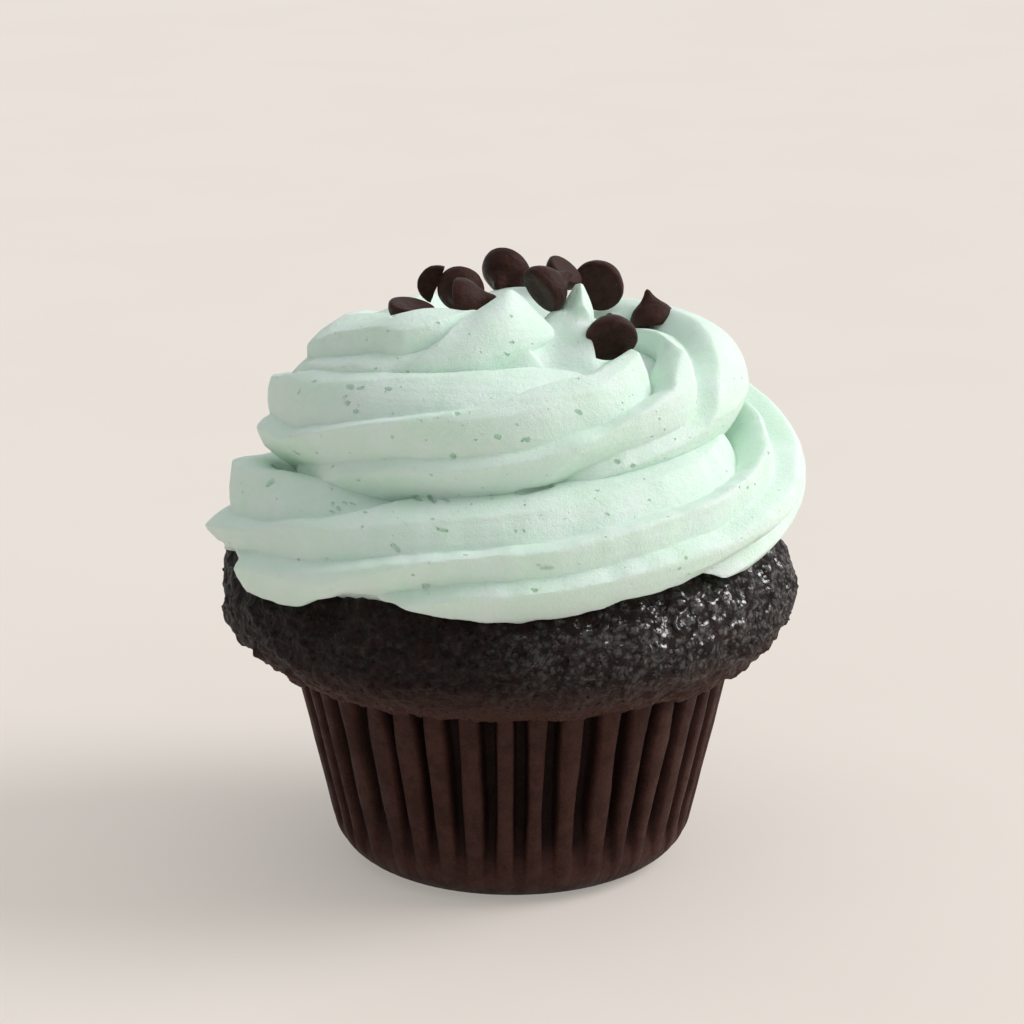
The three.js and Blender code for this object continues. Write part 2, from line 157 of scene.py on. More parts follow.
# Turns count from -x round by the front. Angles round the rope's section are in degrees: 0 is
# outward, 90 is up.
# turn, radius, height, half the width, half the height of the section
ROPE = np.array([
    [-0.30, 32.0, 47.5, 2.0, 1.6],
    [-0.29, 32.0, 46.6, 6.0, 5.2],
    [-0.27, 32.1, 45.4, 8.8, 7.8],
    [-0.15, 32.8, 45.8, 11.4, 10.0],
    [-0.05, 33.0, 48.6, 12.2, 12.2],
    [0.00, 33.0, 50.3, 13.0, 13.4],
    [0.10, 32.5, 51.2, 12.6, 12.0],
    [0.17, 32.0, 52.2, 12.5, 10.4],
    [0.25, 31.5, 53.8, 12.4, 10.4],
    [0.375, 31.3, 56.4, 12.3, 10.8],
    [0.50, 31.2, 58.2, 12.2, 11.3],
    [0.75, 30.0, 62.0, 11.5, 10.8],
    [1.00, 27.2, 66.3, 10.5, 10.1],
    [1.25, 24.8, 69.8, 10.4, 9.8],
    [1.50, 23.8, 72.0, 10.6, 9.3],
    [1.75, 21.6, 72.4, 10.2, 7.6],
    [1.92, 20.2, 73.8, 10.2, 7.6],
    [2.00, 20.0, 73.6, 11.0, 7.3],
    [2.06, 19.6, 75.0, 10.8, 7.9],
    [2.12, 17.8, 77.6, 9.6, 7.8],
    [2.19, 14.8, 79.2, 8.8, 6.4],
    [2.24, 12.5, 80.9, 8.0, 7.2],
    [2.27, 11.1, 81.4, 7.2, 5.6],
    [2.30, 9.8, 81.6, 6.0, 3.4],
    [2.325, 9.2, 81.5, 4.2, 1.8],
    [2.34, 8.8, 81.5, 1.5, 1.0],
])
# Each crease: how many degrees of the section the face above it takes, then rows of turn, angle
# round the section, depth as a share of the section, and degrees that the crest below it takes.
CREASES = [
    (60, [
        [-0.3, 60, 0.1, 20], [-0.12, 84, 0.26, 40], [0.0, 86, 0.36, 45],
        [0.044, 100, 0.36, 44], [0.08, 112, 0.3, 38], [0.2, 140, 0.2, 30],
    ]),
    (34, [
        [-0.27, -60, 0.2, 20], [-0.12, -20, 0.28, 25], [-0.02, 14, 0.28, 26],
        [0.033, 22, 0.27, 24], [0.067, 33, 0.24, 20], [0.096, 43, 0.2, 16],
        [0.116, 52, 0.18, 13], [0.136, 61, 0.17, 11], [0.156, 74, 0.16, 10],
        [0.168, 84, 0.15, 10], [0.185, 103, 0.12, 10], [0.25, 130, 0.1, 10],
    ]),
    (24, [
        [-0.1, -60, 0.12, 12], [0.0, -20, 0.2, 12], [0.03, -8, 0.22, 12],
        [0.07, 3, 0.22, 12], [0.093, 10, 0.2, 11], [0.131, 15, 0.19, 10],
        [0.16, 22, 0.18, 10], [0.192, 31, 0.17, 9], [0.235, 35, 0.17, 9],
        [0.268, 36, 0.16, 9], [0.3, 41, 0.16, 8], [0.352, 42, 0.17, 8],
        [0.389, 47, 0.22, 8], [0.409, 51, 0.27, 8], [0.425, 57, 0.32, 10],
        [0.443, 67, 0.36, 13], [0.465, 80, 0.4, 18], [0.55, 120, 0.35, 30],
        [0.65, 150, 0.3, 30],
    ]),
    (22, [
        [0.14, -24, 0.06, 9], [0.171, -11, 0.14, 9], [0.187, -5, 0.18, 9],
        [0.212, 1, 0.19, 9], [0.235, 4, 0.18, 9], [0.27, 2, 0.18, 8],
        [0.297, 5, 0.17, 8], [0.32, 10, 0.17, 8], [0.345, 12, 0.17, 8],
        [0.375, 13, 0.17, 8], [0.404, 19, 0.18, 8], [0.428, 22, 0.2, 9],
        [0.445, 27, 0.22, 9], [0.464, 37, 0.24, 10], [0.482, 43, 0.26, 11],
        [0.514, 61, 0.28, 14], [0.6, 100, 0.3, 30], [0.7, 130, 0.3, 30],
    ]),
    (24, [
        [0.33, -40, 0.06, 8], [0.361, -35, 0.14, 8], [0.392, -28, 0.17, 8],
        [0.42, -24, 0.18, 8], [0.46, -14, 0.18, 9], [0.5, 5, 0.2, 10],
        [0.6, 50, 0.24, 12], [0.75, 88, 0.24, 15], [0.9, 125, 0.22, 20],
    ]),
    (50, [
        [0.5, -60, 0.1, 12], [0.6, -25, 0.15, 12], [0.75, 8, 0.2, 12],
        [0.9, 30, 0.22, 12], [0.97, 42, 0.22, 12], [1.025, 61, 0.21, 12],
        [1.05, 74, 0.2, 12], [1.076, 88, 0.18, 12], [1.105, 96, 0.16, 12],
        [1.13, 106, 0.14, 12], [1.16, 118, 0.12, 12], [1.3, 150, 0.1, 12],
    ]),
    (40, [
        [0.75, -60, 0.1, 10], [0.9, -28, 0.18, 12], [1.0, 4, 0.21, 12],
        [1.038, 13, 0.19, 11], [1.071, 12, 0.18, 10], [1.103, 22, 0.18, 9],
        [1.139, 32, 0.17, 9], [1.17, 39, 0.16, 8], [1.213, 47, 0.15, 8],
        [1.245, 57, 0.16, 8], [1.264, 68, 0.17, 9], [1.291, 80, 0.22, 16],
        [1.312, 88, 0.26, 22], [1.35, 111, 0.28, 28], [1.45, 140, 0.25, 14],
    ]),
    (32, [
        [0.93, -78, 0.08, 12], [1.03, -47, 0.16, 14], [1.059, -35, 0.2, 12],
        [1.098, -23, 0.22, 11], [1.129, -12, 0.2, 10], [1.174, -3, 0.19, 9],
        [1.229, 1, 0.18, 9], [1.269, 7, 0.18, 8], [1.289, 15, 0.19, 8],
        [1.311, 20, 0.21, 8], [1.336, 32, 0.26, 8], [1.358, 42, 0.32, 9],
        [1.369, 48, 0.36, 11], [1.38, 66, 0.42, 18], [1.4, 95, 0.5, 34],
        [1.42, 108, 0.52, 38], [1.454, 119, 0.5, 33], [1.51, 134, 0.45, 33],
        [1.6, 150, 0.3, 30],
    ]),
    (34, [
        [1.25, -66, 0.08, 10], [1.272, -57, 0.14, 10], [1.287, -43, 0.17, 10],
        [1.299, -30, 0.18, 9], [1.313, -21, 0.18, 9], [1.342, -11, 0.18, 9],
        [1.378, -4, 0.19, 9], [1.394, 5, 0.21, 11], [1.404, 17, 0.24, 13],
        [1.415, 36, 0.27, 15], [1.433, 56, 0.3, 17], [1.468, 80, 0.3, 18],
        [1.514, 95, 0.3, 20], [1.6, 125, 0.25, 20],
    ]),
    (40, [
        [1.45, -60, 0.1, 12], [1.52, -25, 0.17, 12], [1.62, 30, 0.22, 14],
        [1.75, 75, 0.22, 16], [1.9, 120, 0.2, 20],
    ]),
    (40, [
        [1.6, -60, 0.1, 12], [1.7, -25, 0.17, 12], [1.8, 15, 0.22, 14],
        [1.9, 55, 0.2, 16], [1.97, 80, 0.1, 20],
    ]),
    (26, [
        [1.96, -20, 0.1, 12], [2.0, 8, 0.22, 12], [2.04, 28, 0.28, 14],
        [2.1, 29, 0.25, 18], [2.136, 21, 0.25, 20], [2.148, 25, 0.26, 21],
        [2.163, 39, 0.27, 22], [2.176, 58, 0.28, 24], [2.188, 95, 0.25, 26],
        [2.25, 130, 0.2, 24],
    ]),
]
# How many turns a crease takes to come and to go.
CREASE_FADE = 0.03
# How quickly the surface turns away on either side of a crease.
FACE_BEND = 0.8
CREST_BEND = 1.15
# How far a crease strays, in degrees, and over what length of rope.
CREASE_WANDER = (1.2, 9)
CREASE_TREMBLE = (0.9, 1.7)
# All depths are this much greater than in the rows, and change along the rope.
CREASE_GAIN = 1.12
CREASE_CHANGE = (0.15, 5)
# turn, angle round the section where the frosting ends on the cake
HEM = np.array([
    [-0.30, -60],
    [-0.15, -30],
    [-0.02, -14],
    [0.03, -6],
    [0.06, 0],
    [0.076, 1],
    [0.083, -20],
    [0.124, -22],
    [0.145, -11],
    [0.163, -6],
    [0.19, -11],
    [0.215, -21],
    [0.254, -33],
    [0.297, -29],
    [0.312, -21],
    [0.33, -22],
    [0.358, -30],
    [0.389, -37],
    [0.42, -47],
    [0.50, -70],
    [0.60, -120],
    [2.34, -120],
])
# Below the hem the section is smaller by this share, over this many degrees.
HEM_CUT = 0.35
HEM_SPAN = 9
# How far the hem strays, in degrees, and over what length of rope.
HEM_WANDER = (1.4, 7)
HEM_TREMBLE = (1.7, 1.8)
# Streaks and lumps of the rope, as a share of its section, and their size.
ROPE_STREAKS = (0.0055, 0.7)
ROPE_LUMPS = (0.012, 6)
# How much narrower the rope is at its underside.
UNDERSIDE = 0.2
# The radius of the rope where its unevenness is worked out, and the angle where a section starts.
ROPE_SKIN = 11
SECTION_START = 240
ROPE_SIDES = 240
ROPE_STEP = 0.0016
# The rope is made in lengths between these turns, each tucked into the one before it.
ROPE_BREAKS = [-0.3, 0.52, 1.48, 2.34]
TUCK = 0.03
# Swells and dimples of the whole frosting: depth and size.
FROSTING_SWELLS = (0.10, 4.5)
FROSTING_DIMPLES = (0.035, 1.3)
# Edges sharper than this many degrees stay sharp.
FROSTING_SHARP = 48

# The frosting under the rope: radius, height
MOUND = np.array([
    [30.0, 46.0],
    [31.5, 52.0],
    [27.0, 61.0],
    [22.0, 67.0],
    [19.0, 70.5],
    [16.0, 74.6],
    [12.0, 79.3],
    [8.0, 82.4],
    [4.0, 84.1],
])
MOUND_TOP = 84.6
# The mound leans by this much along x and y, from the first height to the second.
MOUND_SHIFT = (1.0, 5.0)
MOUND_LEAN_FROM = 60
MOUND_LEAN_TO = 78
MOUND_SIDES = 96

# The pulled-up end of the frosting: x, y, z, radius
PEAK = np.array([
    [-8.0, -16.0, 70.5, 5.5],
    [-2.0, -16.5, 72.5, 7.2],
    [4.8, -14.3, 75.2, 8.9],
    [7.2, -11.6, 78.3, 7.0],
    [8.5, -8.8, 81.4, 4.7],
    [9.5, -7.0, 84.0, 3.1],
    [9.7, -5.4, 87.6, 0.7],
])
# How deep the three grooves along it are, where they lie, and the direction its sides are set by.
PEAK_RIDGE = 0.42
PEAK_TURN = math.radians(-65)
PEAK_SIDEWAYS = (0.2, 0.9, 0.35)
PEAK_STEPS = 90
PEAK_SIDES = 96

# Burst air bubbles on the front: place in the camera's frame, length, width, slant in degrees.
FRONT_BUBBLES = [
    (299, 392, 0.9, 0.6, 80),
    (350, 387, 1.6, 0.9, -5),
    (360, 388, 1.5, 0.8, 20),
    (388, 389, 1.3, 0.8, -10),
    (317, 453, 0.5, 0.4, 0),
    (278, 469, 2.6, 1.7, 60),
    (270, 483, 2.0, 1.2, 45),
    (358, 480, 1.0, 0.5, 10),
    (277, 499, 0.5, 0.4, 0),
    (333, 504, 1.0, 0.6, -60),
    (339, 509, 1.3, 0.6, -35),
    (332, 512, 1.2, 0.5, -15),
    (345, 503, 1.3, 0.5, -30),
    (353, 504, 1.4, 0.5, -25),
    (396, 548, 1.8, 0.8, -38),
    (442, 530, 1.9, 0.7, -5),
    (432, 519, 0.8, 0.5, 0),
    (327, 559, 0.7, 0.5, 0),
    (426, 586, 1.4, 1.1, 30),
    (431, 475, 0.6, 0.5, 0),
    (534, 590, 1.2, 0.7, -10),
    (679, 569, 0.7, 0.6, 0),
    (546, 568, 2.2, 0.9, 3),
    (465, 555, 0.9, 0.6, 0),
    (360, 327, 0.6, 0.5, 0),
    (388, 331, 0.6, 0.5, 0),
    (393, 316, 1.5, 1.0, 10),
    (438, 323, 0.6, 0.5, 0),
    (511, 316, 0.6, 0.5, 0),
    (427, 373, 0.6, 0.4, 0),
    (506, 354, 1.2, 0.4, -35),
    # narrow caves under the upper turn
    (418, 499, 2.6, 1.0, 4),
    (432, 500, 3.4, 1.0, 2),
    (446, 500, 2.6, 0.8, 0),
    (536, 490, 6.5, 1.6, 7),
]
# With those that lie anywhere round the frosting, between these heights in metres.
ALL_BUBBLES = 324
BUBBLE_HEIGHTS = (0.046, 0.084)
BUBBLE_SLANTS = (-45, 25)
BUBBLE_ROWS = 7
BUBBLE_SIDES = 14

# The hollow inside the frosting follows the cake's profile from this row, and is this much smaller.
CORE_ROW = 6
CORE_INSET = 1.6
CORE_STEP = 1.5
CORE_RIM = np.array([[36.0, 42.0]])
CORE_SIDES = 90

# ---- Chocolate chips ----

# radius, height
CHIP_BASE = np.array([
    [0.6, 0.05],
    [1.6, 0.02],
])
CHIP_PROFILE = np.array([
    [2.2, -0.02],
    [3.1, 0.0],
    [3.42, 0.22],
    [3.5, 0.6],
    [3.3, 1.5],
    [2.55, 2.6],
    [1.5, 3.5],
    [0.8, 4.4],
    [0.42, 5.1],
    [0.0, 5.45],
])
CHIP_HEIGHT = 5.5
CHIP_SIDES = 56
CHIP_STEP = 0.16
# Depth and size of the unevenness of its skin and of a broken face.
CHIP_LUMPS = (0.09, 2.2)
CHIP_DENTS = (0.035, 0.6)
CHIP_BREAK = (0.12, 0.9)
CHIP_SHARP = 42
# Each chip: the middle of its base, where its tip points, size, how far the tip curls over, cut in
# half or not, and its turn round its own axis in degrees.
CHIPS = [
    ((-14.3, -1.5, 83.7), (-0.2, 0.1, -0.97), 1.0, 0, False, 0),
    ((-11.0, 6.5, 84.7), (0.1, 0.99, 0.1), 0.84, 0, True, 22),
    ((-7.4, 6.5, 84.6), (-0.15, -0.95, -0.25), 1.0, 0, False, 0),
    ((-7.7, -7.6, 85.2), (0.97, -0.15, 0.18), 1.06, 0, False, 0),
    ((-0.6, 11.5, 86.2), (-0.36, -0.88, -0.29), 1.06, 0.4, False, 0),
    ((8.0, 4.6, 87.6), (-0.6, 0.25, -0.75), 0.86, 0, False, 0),
    ((3.9, -7.0, 86.8), (0.72, 0.5, 0.45), 1.06, 0.8, False, 0),
    ((12.5, 9.8, 83.7), (0.3, 0.92, 0.2), 1.12, 0, False, 0),
    ((14.0, -14.5, 81.2), (-0.12, 0.85, 0.5), 1.08, 0.5, False, 0),
    ((20.9, 8.0, 78.7), (-0.2, 0.1, 0.97), 0.96, 0, False, 0),
]


# ---- Repeatable unevenness ----


def chance(cells, seed):
    """A random share from 0 to 1 for each whole-numbered cell."""
    x, y, z = (cells[..., i].astype(np.int64) for i in range(3))
    mixed = (x * 374761393 + y * 668265263 + z * 1440662683 + seed * 974711) & 0xFFFFFFFF
    mixed = ((mixed ^ (mixed >> 13)) * 1274126177) & 0xFFFFFFFF
    mixed = ((mixed ^ (mixed >> 15)) * 2246822519) & 0xFFFFFFFF
    return ((mixed ^ (mixed >> 16)) & 0xFFFFFF) / 0xFFFFFF


def cloud(points, size, seed):
    """Smooth unevenness from -1 to 1 whose lumps are about size across."""
    place = points / size
    low = np.floor(place)
    part = place - low
    part = part * part * (3 - 2 * part)
    total = 0
    for corner in np.ndindex(2, 2, 2):
        step = np.array(corner)
        weight = np.prod(np.where(step, part, 1 - part), axis=-1)
        total = total + weight * chance(low + step, seed)
    return total * 2 - 1


def uneven(points, depth, size, seed):
    """Smooth unevenness of that depth and size."""
    return depth * cloud(points, size, seed)


def pores(points, depth, size, share, seed):
    """Round pores of that depth, one to a cell of that size in a share of the cells."""
    place = points / size
    home = np.floor(place)
    best = np.zeros(place.shape[:-1])
    for near in np.ndindex(3, 3, 3):
        cell = home + np.array(near) - 1
        stray = np.stack([chance(cell, seed + i) - 0.5 for i in (1, 2, 3)], -1)
        middle = cell + 0.5 + 0.7 * stray
        radius = 0.14 + 0.26 * chance(cell, seed + 4) ** 2
        there = chance(cell, seed + 5) < share
        away = np.linalg.norm(place - middle, axis=-1) / radius
        best = np.maximum(best, np.where(there, np.clip(1 - away * away, 0, 1), 0))
    return depth * best


def smooth_step(value, low, high):
    """0 below low, 1 above high and a soft rise between."""
    share = np.clip((value - low) / (high - low), 0, 1)
    return share * share * (3 - 2 * share)


# ---- Meshes ----


def new_piece(name, points, faces):
    """An object from points in millimetres and faces."""
    mesh = bpy.data.meshes.new(name)
    mesh.from_pydata((np.asarray(points, float) * MM).tolist(), [], faces)
    mesh.update()
    mesh.validate()
    mesh.shade_smooth()
    piece = bpy.data.objects.new(name, mesh)
    bpy.context.scene.collection.objects.link(piece)
    return piece


def closed_skin(rings, base=0):
    """Points and faces of a skin over rings of points, with a fan over each end."""
    rows, sides, _ = rings.shape
    points = np.vstack([rings.reshape(-1, 3), rings[0].mean(0), rings[-1].mean(0)])
    first = np.arange(rows - 1)[:, None] * sides
    here = np.arange(sides)[None, :]
    after = (here + 1) % sides
    corners = [first + here, first + after, first + sides + after, first + sides + here]
    faces = (base + np.stack(corners, -1).reshape(-1, 4)).tolist()
    last = base + (rows - 1) * sides
    start = base + rows * sides
    for side in range(sides):
        after = (side + 1) % sides
        faces.append((start, base + after, base + side))
        faces.append((start + 1, last + side, last + after))
    return points, faces


def tube(name, rings):
    """A closed piece over rings of points."""
    return new_piece(name, *closed_skin(rings))


def on_circle(radius, angle, height):
    """Points at a radius, an angle and a height of the upright axis."""
    return np.stack([radius * np.cos(angle), radius * np.sin(angle), height + 0 * angle], -1)


def turned(profile, sides):
    """Rings round the upright axis from [radius, height] rows."""
    angle = np.linspace(0, 2 * math.pi, sides, endpoint=False)
    return on_circle(profile[:, 0, None], angle, profile[:, 1, None])


def along(table, column, place):
    """A smooth curve through the rows of a table that never overshoots them."""
    x, y = table[:, 0].astype(float), table[:, column].astype(float)
    span = np.diff(x)
    slope = np.diff(y) / span
    tangent = np.zeros(len(x))
    tangent[0], tangent[-1] = slope[0], slope[-1]
    for row in range(1, len(x) - 1):
        before, after = slope[row - 1], slope[row]
        if before * after > 0:
            w0, w1 = 2 * span[row] + span[row - 1], span[row] + 2 * span[row - 1]
            tangent[row] = (w0 + w1) / (w0 / before + w1 / after)
    row = np.clip(np.searchsorted(x, place) - 1, 0, len(x) - 2)
    s = (place - x[row]) / span[row]
    rise = s * s * (3 - 2 * s)
    bow = s * (1 - s) ** 2 * tangent[row] - s * s * (1 - s) * tangent[row + 1]
    return y[row] * (1 - rise) + y[row + 1] * rise + span[row] * bow


def even_curve(points, spacing):
    """Points spaced evenly along a smooth curve through the given ones."""
    padded = np.vstack([2 * points[0] - points[1], points, 2 * points[-1] - points[-2]])
    fine = []
    for i in range(1, len(padded) - 2):
        p0, p1, p2, p3 = padded[i - 1 : i + 3]
        bend = 2 * p0 - 5 * p1 + 4 * p2 - p3
        twist = 3 * p1 - p0 - 3 * p2 + p3
        for t in np.linspace(0, 1, 40, endpoint=False):
            fine.append(0.5 * (2 * p1 + (p2 - p0) * t + bend * t * t + twist * t ** 3))
    fine = np.vstack([fine, points[-1:]])
    run = np.concatenate([[0], np.cumsum(np.linalg.norm(np.diff(fine, axis=0), axis=1))])
    stops = np.linspace(0, run[-1], max(int(run[-1] / spacing), 2) + 1)
    return np.stack([np.interp(stops, run, fine[:, i]) for i in range(fine.shape[1])], -1)


def apply_modifiers(piece):
    """Bakes the piece's modifiers into its mesh."""
    graph = bpy.context.evaluated_depsgraph_get()
    made = bpy.data.meshes.new_from_object(piece.evaluated_get(graph))
    piece.modifiers.clear()
    piece.data = made


def combine(piece, tool, operation):
    """Joins a tool to a piece, or cuts it away, when the modifiers are applied."""
    modifier = piece.modifiers.new(tool.name, "BOOLEAN")
    modifier.operation = operation
    modifier.solver = "MANIFOLD"
    modifier.object = tool


def read_vectors(mesh, what):
    """The co or the normal of every point of a mesh."""
    values = np.empty(len(mesh.vertices) * 3)
    mesh.vertices.foreach_get(what, values)
    return values.reshape(-1, 3)


# ---- Paper case ----


def wall_radius(height):
    """The case's radius at a height: a round corner, then a leaning wall."""
    corner_top = CORNER_RADIUS * (1 - math.sin(WALL_LEAN))
    drop = CORNER_RADIUS - np.minimum(height, corner_top)
    corner = FOOT_RADIUS + np.sqrt(CORNER_RADIUS ** 2 - drop ** 2)
    return corner + np.maximum(height - corner_top, 0) * math.tan(WALL_LEAN)


def pleat_directions():
    """Where the ridge of each pleat is, in degrees."""
    gap = 360 - (BACK_PLEATS[-1] - BACK_PLEATS[0])
    share = np.arange(1, FRONT_PLEATS + 1) / (FRONT_PLEATS + 1)
    front = BACK_PLEATS[-1] + gap * share
    front = front + random.uniform(-PLEAT_SHIFT, PLEAT_SHIFT, FRONT_PLEATS)
    return np.concatenate([BACK_PLEATS, front])


def make_case():
    """Thin pleated paper. Each pleat has its own width, depth and drift."""
    ridges = pleat_directions()
    count = len(ridges)
    width = random.uniform(*RIDGE_SHARE, count)
    depth = random.uniform(*PLEAT_DEPTH, count)
    drift = random.uniform(*PLEAT_DRIFT, count)
    start = random.uniform(*PLEAT_START, count)
    steps = np.linspace(0, 1, PLEAT_STEPS, endpoint=False)
    rows = []
    for height in np.concatenate([CORNER_HEIGHTS, np.linspace(2, CASE_TOP, WALL_ROWS)]):
        rise = height / CASE_TOP
        folds = np.stack([9.0 * np.arange(count), np.full(count, height), np.zeros(count)], -1)
        narrow = (0.8 + 0.2 * rise) * (1 + uneven(folds, *RIDGE_CHANGE, 6))
        points = []
        for pleat in range(count):
            after = (pleat + 1) % count
            pitch = (ridges[after] - ridges[pleat]) % 360
            for step in steps:
                own = pleat if step < 0.5 else after
                edge = 0.5 * width[own] * narrow[own]
                away = step if step < 0.5 else 1 - step
                fade = smooth_step(height, start[pleat], PLEAT_FULL)
                wall = smooth_step(away, edge * FOLD_START, edge + FOLD_SPAN)
                crown = RIDGE_CROWN * (away / edge) ** 2 * (1 - wall) * min(1, rise * 4)
                angle = ridges[pleat] + pitch * step
                angle += (drift[pleat] * (1 - step) + drift[after] * step) * (1 - rise) ** 2
                points.append((math.radians(angle), fade * wall * depth[pleat] + crown))
        angle, drop = np.array(points).T
        crinkle = cloud(on_circle(CRINKLE_RADIUS, angle, height), CRINKLE_SIZE, 5)
        radius = wall_radius(height) - drop
        radius = radius + CRINKLE_DEPTH * crinkle * min(1, rise * 3) - CRINKLE_DEPTH
        rows.append(on_circle(radius, angle, height))
    rings = np.array(rows)
    inner = rings.copy()
    scale = 1 - PAPER / np.linalg.norm(inner[..., :2], axis=-1)
    inner[..., :2] *= scale[..., None]
    inner[..., 2] = np.maximum(inner[..., 2], PAPER)
    foot = [rings[0] * [k, k, 1] for k in (0.3, 0.7, 0.93)]
    level = np.full(rings.shape[1], PAPER)
    inner_foot = [np.c_[rings[0][:, :2] * k, level] for k in (0.93, 0.7, 0.3)]
    return tube("pleated_paper_case", np.concatenate([foot, rings, inner[::-1], inner_foot]))


# ---- Cake ----


def swell(angle, height):
    """How far the dome stands out from a true circle."""
    return (
        0.32 * np.sin(3 * angle + 0.9) + 0.2 * np.sin(5 * angle + 0.35 * height)
        + 0.14 * np.sin(11 * angle - 0.5 * height + 2) - DOME_LEAN * np.cos(angle)
    )


def dome_rings(profile, sides, margin=0.0):
    """The cake's top as rings, with the outward direction at each point."""
    along_r, along_z = np.gradient(profile[:, 0]), np.gradient(profile[:, 1])
    size = np.hypot(along_r, along_z)
    out_r, out_z = (along_z / size)[:, None], (-along_r / size)[:, None]
    angle = np.linspace(0, 2 * math.pi, sides, endpoint=False)[None, :]
    rough = np.clip((profile[:, 1] - EDGE_HEIGHT) / 3, 0, 1) * (profile[:, 0] / DOME_RADIUS) ** 2
    radius = profile[:, 0, None] + margin * out_r
    radius = radius + rough[:, None] * swell(angle, profile[:, 1, None])
    points = on_circle(radius, angle, profile[:, 1, None] + margin * out_z)
    return points, on_circle(out_r, angle, out_z)


def crumb_relief(points):
    """How far each point of the dome stands out or lies deeper."""
    relief = uneven(points, *CRUMB_SWELLS, 21) + uneven(points * [1, 1, 1.6], *CRUMB_LUMPS, 22)
    relief += uneven(points, *CRUMB_GRAINS, 23) + uneven(points, *CRUMB_SPECKS, 24)
    veins = 1 - np.abs(cloud(points * [1, 1, 2.2], VEIN_SIZE, 25))
    relief += VEIN_RISE * np.clip(veins - VEIN_START, 0, 1)
    relief -= pores(points, *WIDE_PORES, 30) + pores(points, *FINE_PORES, 40)
    away = (points - CRATER_PLACE) / CRATER_REACH
    return relief - CRATER_DEPTH * np.exp(-(away ** 2).sum(-1))


def make_cake():
    """The cake: a body inside the case and an open, crumbly dome over its rim."""
    shown = even_curve(DOME_PROFILE[: COVERED_ROW + 1], SHOWN_STEP)
    covered = even_curve(DOME_PROFILE[COVERED_ROW:], COVERED_STEP)[1:-1]
    points, out = dome_rings(np.vstack([shown, covered]), CAKE_SIDES)
    relief = crumb_relief(points)
    edge = np.clip((points[..., 2] - EDGE_HEIGHT) / EDGE_FADE, 0, 1)
    points = points + out * relief[..., None] * (0.35 + 0.65 * edge[..., None])
    flat = points * [1, 1, 0]
    hem = (1 - edge) * (uneven(flat, *EDGE_DROPS, 26) + uneven(flat, *EDGE_CRUMBS, 27))
    points[..., 2] += hem * 0.8
    body = turned(BODY_PROFILE, CAKE_SIDES)
    return tube("cake", np.concatenate([body, points]))


# ---- Frosting ----


def crease_cut(turns, angle, straight):
    """How much the creases take off the section: a slow face above each, a quick crest below."""
    cut = np.zeros(np.broadcast(turns, angle).shape)
    for number, (face, rows) in enumerate(CREASES):
        rows = np.array(rows)
        start, stop = rows[0, 0], rows[-1, 0]
        near = (turns[:, 0] > start - 0.01) & (turns[:, 0] < stop + 0.01)
        here = np.clip(turns[near], start, stop)
        run = straight[near]
        middle, depth, crest = (along(rows, column, here) for column in (1, 2, 3))
        middle = middle + uneven(run, *CREASE_WANDER, 80 + number)
        middle = middle + uneven(run, *CREASE_TREMBLE, 120 + number)
        depth = depth * (CREASE_GAIN + uneven(run, *CREASE_CHANGE, 100 + number))
        depth = depth * smooth_step(here, start, start + CREASE_FADE)
        depth = depth * (1 - smooth_step(here, stop - CREASE_FADE, stop))
        away = (angle - middle + 180) % 360 - 180
        above = np.clip(1 - away / face, 0, 1) ** FACE_BEND
        below = np.clip(1 + away / crest, 0, 1) ** CREST_BEND
        cut[near] = np.maximum(cut[near], depth * np.where(away > 0, above, below))
    return cut


def rope_rings(turns, scale=1.0):
    """Sections of the rope at the given turns."""
    turns = np.atleast_1d(turns)[:, None]
    radius, height, width, tall = (along(ROPE, column, turns) for column in range(1, 5))
    angle = SECTION_START - np.linspace(0, 360, ROPE_SIDES, endpoint=False)[None, :]
    around = np.radians(angle) + 0 * turns
    run = turns * 2 * math.pi * radius + 0 * angle
    skin = np.stack([run, ROPE_SKIN * np.cos(around), ROPE_SKIN * np.sin(around)], -1)
    straight = skin * [1, 0, 0]
    size = 1 - crease_cut(turns, angle, straight)
    size = size + uneven(skin * [0.06, 1, 1], *ROPE_STREAKS, 53)
    size = size + uneven(skin * [0.5, 1, 1], *ROPE_LUMPS, 54)
    hem = along(HEM, 1, turns) + uneven(straight, *HEM_TREMBLE, 55)
    hem = hem + uneven(straight, *HEM_WANDER, 56)
    size = size * (1 - HEM_CUT * smooth_step(hem - angle, 0, HEM_SPAN))
    settled = 1 + UNDERSIDE * np.minimum(np.sin(around), 0)
    reach = radius + scale * width * settled * size * np.cos(around)
    level = height + scale * tall * size * np.sin(around)
    bearing = turns * 2 * math.pi
    return np.stack([-reach * np.cos(bearing), -reach * np.sin(bearing), level], -1)


def rope_length(name, start, stop):
    """A length of rope whose start is tucked into the length before it."""
    rings = rope_rings(np.arange(start, stop, ROPE_STEP))
    if start > ROPE_BREAKS[0]:
        tucked = [rope_rings(start - TUCK * (1 - k), 0.8 + 0.17 * k) for k in np.linspace(0, 0.8, 5)]
        rings = np.concatenate([*tucked, rings])
    return tube(name, rings)


def make_mound():
    """The frosting that the rope lies on."""
    rings = turned(MOUND, MOUND_SIDES)
    shift = smooth_step(MOUND[:, 1], MOUND_LEAN_FROM, MOUND_LEAN_TO)[:, None]
    rings[..., 0] += MOUND_SHIFT[0] * shift
    rings[..., 1] += MOUND_SHIFT[1] * shift
    tip = np.tile([[[*MOUND_SHIFT, MOUND_TOP]]], (1, MOUND_SIDES, 1))
    cap = rings[-1:] * 0.3 + tip * 0.7
    cap[..., 2] = MOUND_TOP
    return tube("mound", np.concatenate([rings, cap]))


